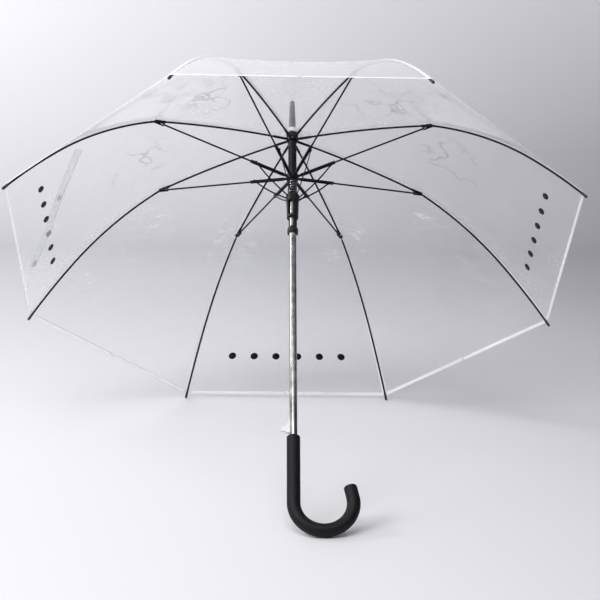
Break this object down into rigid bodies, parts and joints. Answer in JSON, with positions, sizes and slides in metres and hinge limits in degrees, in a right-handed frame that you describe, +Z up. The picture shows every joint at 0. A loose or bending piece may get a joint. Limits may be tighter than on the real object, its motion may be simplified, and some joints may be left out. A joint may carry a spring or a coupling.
{
  "type": "bubble umbrella",
  "caption": "Clear dome umbrella with ribs, stretchers, sprung runner, push catch and hooked handle; folds along its shaft.",
  "frame": {"origin": "on the floor, under the centre of the open umbrella's box, as it lies on its hook and its two lowest rib tips", "axes": "+Z up from the floor; +Y from the handle towards the canopy; +X to the side the hook bends to"},
  "size_m": [0.9364, 0.724, 0.7065],
  "materials": {
    "shaft_steel": "polished plated steel tube",
    "grip_rubber": "matte soft-touch grip",
    "catch_plastic": "moulded, slightly glossy",
    "rosette_plastic": "milky moulded washer",
    "wire_steel": "drawn wire",
    "spring_steel": "blackened spring wire",
    "canopy_film": "clear soft film with milky welded seams",
    "rib_black": "black coated rod",
    "tip_plastic": "moulded tip",
    "stretcher_black": "black painted channel and rod",
    "hub_plastic": "moulded black hub parts"
  },
  "bodies": {
    "frame": {"shaft_tube": "shaft_steel", "handle_grip": "grip_rubber", "top_spike": "hub_plastic", "top_rosette": "rosette_plastic", "top_notch": "hub_plastic", "notch_wire": "wire_steel", "buffer_spring": "spring_steel", "canopy_gore_1": "canopy_film", "canopy_gore_2": "canopy_film", "canopy_gore_3": "canopy_film", "canopy_gore_4": "canopy_film", "canopy_gore_5": "canopy_film", "canopy_gore_6": "canopy_film", "canopy_gore_7": "canopy_film", "canopy_gore_8": "canopy_film"},
    "catch": {"catch_button": "catch_plastic"},
    "ring": {"stretcher_ring": "hub_plastic", "ring_wire": "wire_steel", "opening_spring": "spring_steel"},
    "runner": {"runner": "hub_plastic"},
    "inner_1": {"rib_inner_1": "rib_black"},
    "outer_1": {"rib_outer_1": "rib_black", "rib_tip_1": "tip_plastic"},
    "stretch_1": {"stretcher_1": "stretcher_black"},
    "link_1": {"link_1": "stretcher_black"},
    "inner_2": {"rib_inner_2": "rib_black"},
    "outer_2": {"rib_outer_2": "rib_black", "rib_tip_2": "tip_plastic"},
    "stretch_2": {"stretcher_2": "stretcher_black"},
    "link_2": {"link_2": "stretcher_black"},
    "inner_3": {"rib_inner_3": "rib_black"},
    "outer_3": {"rib_outer_3": "rib_black", "rib_tip_3": "tip_plastic"},
    "stretch_3": {"stretcher_3": "stretcher_black"},
    "link_3": {"link_3": "stretcher_black"},
    "inner_4": {"rib_inner_4": "rib_black"},
    "outer_4": {"rib_outer_4": "rib_black", "rib_tip_4": "tip_plastic"},
    "stretch_4": {"stretcher_4": "stretcher_black"},
    "link_4": {"link_4": "stretcher_black"},
    "inner_5": {"rib_inner_5": "rib_black"},
    "outer_5": {"rib_outer_5": "rib_black", "rib_tip_5": "tip_plastic"},
    "stretch_5": {"stretcher_5": "stretcher_black"},
    "link_5": {"link_5": "stretcher_black"},
    "inner_6": {"rib_inner_6": "rib_black"},
    "outer_6": {"rib_outer_6": "rib_black", "rib_tip_6": "tip_plastic"},
    "stretch_6": {"stretcher_6": "stretcher_black"},
    "link_6": {"link_6": "stretcher_black"},
    "inner_7": {"rib_inner_7": "rib_black"},
    "outer_7": {"rib_outer_7": "rib_black", "rib_tip_7": "tip_plastic"},
    "stretch_7": {"stretcher_7": "stretcher_black"},
    "link_7": {"link_7": "stretcher_black"},
    "inner_8": {"rib_inner_8": "rib_black"},
    "outer_8": {"rib_outer_8": "rib_black", "rib_tip_8": "tip_plastic"},
    "stretch_8": {"stretcher_8": "stretcher_black"},
    "link_8": {"link_8": "stretcher_black"}
  },
  "joints": [
    {"name": "canopy_fold", "type": "hinge", "parent": "frame", "child": "inner_1", "pos_m": [0.00868, 0.21365, 0.51987], "axis": [-0.3827, 0.6217, -0.6834], "range_deg": [0, 75], "stiffness_Nm_per_rad": 0.6, "springref_deg": -143.24, "deforming": ["canopy_gore_1", "canopy_gore_2", "canopy_gore_3", "canopy_gore_4", "canopy_gore_5", "canopy_gore_6", "canopy_gore_7", "canopy_gore_8"]},
    {"name": "rib_flex_1", "type": "hinge", "parent": "inner_1", "child": "outer_1", "pos_m": [0.23642, 0.24629, 0.42204], "axis": [-0.3827, 0.6217, -0.6834], "range_deg": [-31.12, 0]},
    {"name": "stretcher_fold_1", "type": "hinge", "parent": "inner_1", "child": "stretch_1", "pos_m": [0.23642, 0.24629, 0.42204], "axis": [-0.3827, 0.6217, -0.6834], "range_deg": [-150.02, 0]},
    {"name": "link_fold_1", "type": "hinge", "parent": "stretch_1", "child": "link_1", "pos_m": [0.06516, 0.17537, 0.45341], "axis": [-0.3827, 0.6217, -0.6834], "range_deg": [0, 30.58]},
    {"name": "rib_fold_2", "type": "hinge", "parent": "frame", "child": "inner_2", "pos_m": [0.0036, 0.21708, 0.51611], "axis": [-0.9239, 0.2575, -0.2831], "range_deg": [0, 75]},
    {"name": "rib_flex_2", "type": "hinge", "parent": "inner_2", "child": "outer_2", "pos_m": [0.09793, 0.33949, 0.3196], "axis": [-0.9239, 0.2575, -0.2831], "range_deg": [-31.12, 0]},
    {"name": "stretcher_fold_2", "type": "hinge", "parent": "inner_2", "child": "stretch_2", "pos_m": [0.09793, 0.33949, 0.3196], "axis": [-0.9239, 0.2575, -0.2831], "range_deg": [-150.02, 0]},
    {"name": "link_fold_2", "type": "hinge", "parent": "stretch_2", "child": "link_2", "pos_m": [0.02699, 0.20105, 0.42518], "axis": [-0.9239, 0.2575, -0.2831], "range_deg": [0, 30.58]},
    {"name": "rib_fold_3", "type": "hinge", "parent": "frame", "child": "inner_3", "pos_m": [-0.0036, 0.21708, 0.51611], "axis": [-0.9239, -0.2575, 0.2831], "range_deg": [0, 75]},
    {"name": "rib_flex_3", "type": "hinge", "parent": "inner_3", "child": "outer_3", "pos_m": [-0.09793, 0.33949, 0.3196], "axis": [-0.9239, -0.2575, 0.2831], "range_deg": [-31.12, 0]},
    {"name": "stretcher_fold_3", "type": "hinge", "parent": "inner_3", "child": "stretch_3", "pos_m": [-0.09793, 0.33949, 0.3196], "axis": [-0.9239, -0.2575, 0.2831], "range_deg": [-150.02, 0]},
    {"name": "link_fold_3", "type": "hinge", "parent": "stretch_3", "child": "link_3", "pos_m": [-0.02699, 0.20105, 0.42518], "axis": [-0.9239, -0.2575, 0.2831], "range_deg": [0, 30.58]},
    {"name": "rib_fold_4", "type": "hinge", "parent": "frame", "child": "inner_4", "pos_m": [-0.00868, 0.21365, 0.51987], "axis": [-0.3827, -0.6217, 0.6834], "range_deg": [0, 75]},
    {"name": "rib_flex_4", "type": "hinge", "parent": "inner_4", "child": "outer_4", "pos_m": [-0.23642, 0.24629, 0.42204], "axis": [-0.3827, -0.6217, 0.6834], "range_deg": [-31.12, 0]},
    {"name": "stretcher_fold_4", "type": "hinge", "parent": "inner_4", "child": "stretch_4", "pos_m": [-0.23642, 0.24629, 0.42204], "axis": [-0.3827, -0.6217, 0.6834], "range_deg": [-150.02, 0]},
    {"name": "link_fold_4", "type": "hinge", "parent": "stretch_4", "child": "link_4", "pos_m": [-0.06516, 0.17537, 0.45341], "axis": [-0.3827, -0.6217, 0.6834], "range_deg": [0, 30.58]},
    {"name": "rib_fold_5", "type": "hinge", "parent": "frame", "child": "inner_5", "pos_m": [-0.00868, 0.20881, 0.52519], "axis": [0.3827, -0.6217, 0.6834], "range_deg": [0, 75]},
    {"name": "rib_flex_5", "type": "hinge", "parent": "inner_5", "child": "outer_5", "pos_m": [-0.23642, 0.11449, 0.56691], "axis": [0.3827, -0.6217, 0.6834], "range_deg": [-31.12, 0]},
    {"name": "stretcher_fold_5", "type": "hinge", "parent": "inner_5", "child": "stretch_5", "pos_m": [-0.23642, 0.11449, 0.56691], "axis": [0.3827, -0.6217, 0.6834], "range_deg": [-150.02, 0]},
    {"name": "link_fold_5", "type": "hinge", "parent": "stretch_5", "child": "link_5", "pos_m": [-0.06516, 0.13904, 0.49334], "axis": [0.3827, -0.6217, 0.6834], "range_deg": [0, 30.58]},
    {"name": "rib_fold_6", "type": "hinge", "parent": "frame", "child": "inner_6", "pos_m": [-0.0036, 0.20539, 0.52895], "axis": [0.9239, -0.2575, 0.2831], "range_deg": [0, 75]},
    {"name": "rib_flex_6", "type": "hinge", "parent": "inner_6", "child": "outer_6", "pos_m": [-0.09793, 0.02129, 0.66935], "axis": [0.9239, -0.2575, 0.2831], "range_deg": [-31.12, 0]},
    {"name": "stretcher_fold_6", "type": "hinge", "parent": "inner_6", "child": "stretch_6", "pos_m": [-0.09793, 0.02129, 0.66935], "axis": [0.9239, -0.2575, 0.2831], "range_deg": [-150.02, 0]},
    {"name": "link_fold_6", "type": "hinge", "parent": "stretch_6", "child": "link_6", "pos_m": [-0.02699, 0.11335, 0.52158], "axis": [0.9239, -0.2575, 0.2831], "range_deg": [0, 30.58]},
    {"name": "rib_fold_7", "type": "hinge", "parent": "frame", "child": "inner_7", "pos_m": [0.0036, 0.20539, 0.52895], "axis": [0.9239, 0.2575, -0.2831], "range_deg": [0, 75]},
    {"name": "rib_flex_7", "type": "hinge", "parent": "inner_7", "child": "outer_7", "pos_m": [0.09793, 0.02129, 0.66935], "axis": [0.9239, 0.2575, -0.2831], "range_deg": [-31.12, 0]},
    {"name": "stretcher_fold_7", "type": "hinge", "parent": "inner_7", "child": "stretch_7", "pos_m": [0.09793, 0.02129, 0.66935], "axis": [0.9239, 0.2575, -0.2831], "range_deg": [-150.02, 0]},
    {"name": "link_fold_7", "type": "hinge", "parent": "stretch_7", "child": "link_7", "pos_m": [0.02699, 0.11335, 0.52158], "axis": [0.9239, 0.2575, -0.2831], "range_deg": [0, 30.58]},
    {"name": "rib_fold_8", "type": "hinge", "parent": "frame", "child": "inner_8", "pos_m": [0.00868, 0.20881, 0.52519], "axis": [0.3827, 0.6217, -0.6834], "range_deg": [0, 75]},
    {"name": "rib_flex_8", "type": "hinge", "parent": "inner_8", "child": "outer_8", "pos_m": [0.23642, 0.11449, 0.56691], "axis": [0.3827, 0.6217, -0.6834], "range_deg": [-31.12, 0]},
    {"name": "stretcher_fold_8", "type": "hinge", "parent": "inner_8", "child": "stretch_8", "pos_m": [0.23642, 0.11449, 0.56691], "axis": [0.3827, 0.6217, -0.6834], "range_deg": [-150.02, 0]},
    {"name": "link_fold_8", "type": "hinge", "parent": "stretch_8", "child": "link_8", "pos_m": [0.06516, 0.13904, 0.49334], "axis": [0.3827, 0.6217, -0.6834], "range_deg": [0, 30.58]},
    {"name": "ring_level", "type": "hinge", "parent": "stretch_1", "child": "ring", "pos_m": [0.00868, 0.15197, 0.46376], "axis": [-0.3827, 0.6217, -0.6834], "range_deg": [0, 75.02]},
    {"name": "runner_slide", "type": "slide", "parent": "ring", "child": "runner", "axis": [0, 0.7397, 0.673], "range_m": [0, 0.02479], "deforming": ["opening_spring"]},
    {"name": "catch_press", "type": "slide", "parent": "frame", "child": "catch", "axis": [1, 0, 0], "range_m": [0, 0.003], "stiffness_N_per_m": 400, "springref_m": -0.002}
  ],
  "couplings": [
    {"joint": "rib_flex_1", "follows": "canopy_fold", "ratio": -0.4147},
    {"joint": "stretcher_fold_1", "follows": "canopy_fold", "ratio": -2},
    {"joint": "link_fold_1", "follows": "canopy_fold", "ratio": 0.40752},
    {"joint": "rib_fold_2", "follows": "canopy_fold", "ratio": 1},
    {"joint": "rib_flex_2", "follows": "canopy_fold", "ratio": -0.4147},
    {"joint": "stretcher_fold_2", "follows": "canopy_fold", "ratio": -2},
    {"joint": "link_fold_2", "follows": "canopy_fold", "ratio": 0.40752},
    {"joint": "rib_fold_3", "follows": "canopy_fold", "ratio": 1},
    {"joint": "rib_flex_3", "follows": "canopy_fold", "ratio": -0.4147},
    {"joint": "stretcher_fold_3", "follows": "canopy_fold", "ratio": -2},
    {"joint": "link_fold_3", "follows": "canopy_fold", "ratio": 0.40752},
    {"joint": "rib_fold_4", "follows": "canopy_fold", "ratio": 1},
    {"joint": "rib_flex_4", "follows": "canopy_fold", "ratio": -0.4147},
    {"joint": "stretcher_fold_4", "follows": "canopy_fold", "ratio": -2},
    {"joint": "link_fold_4", "follows": "canopy_fold", "ratio": 0.40752},
    {"joint": "rib_fold_5", "follows": "canopy_fold", "ratio": 1},
    {"joint": "rib_flex_5", "follows": "canopy_fold", "ratio": -0.4147},
    {"joint": "stretcher_fold_5", "follows": "canopy_fold", "ratio": -2},
    {"joint": "link_fold_5", "follows": "canopy_fold", "ratio": 0.40752},
    {"joint": "rib_fold_6", "follows": "canopy_fold", "ratio": 1},
    {"joint": "rib_flex_6", "follows": "canopy_fold", "ratio": -0.4147},
    {"joint": "stretcher_fold_6", "follows": "canopy_fold", "ratio": -2},
    {"joint": "link_fold_6", "follows": "canopy_fold", "ratio": 0.40752},
    {"joint": "rib_fold_7", "follows": "canopy_fold", "ratio": 1},
    {"joint": "rib_flex_7", "follows": "canopy_fold", "ratio": -0.4147},
    {"joint": "stretcher_fold_7", "follows": "canopy_fold", "ratio": -2},
    {"joint": "link_fold_7", "follows": "canopy_fold", "ratio": 0.40752},
    {"joint": "rib_fold_8", "follows": "canopy_fold", "ratio": 1},
    {"joint": "rib_flex_8", "follows": "canopy_fold", "ratio": -0.4147},
    {"joint": "stretcher_fold_8", "follows": "canopy_fold", "ratio": -2},
    {"joint": "link_fold_8", "follows": "canopy_fold", "ratio": 0.40752},
    {"joint": "ring_level", "follows": "canopy_fold", "ratio": 1},
    {"joint": "runner_slide", "follows": "canopy_fold", "m_per_rad": 0.018858}
  ]
}
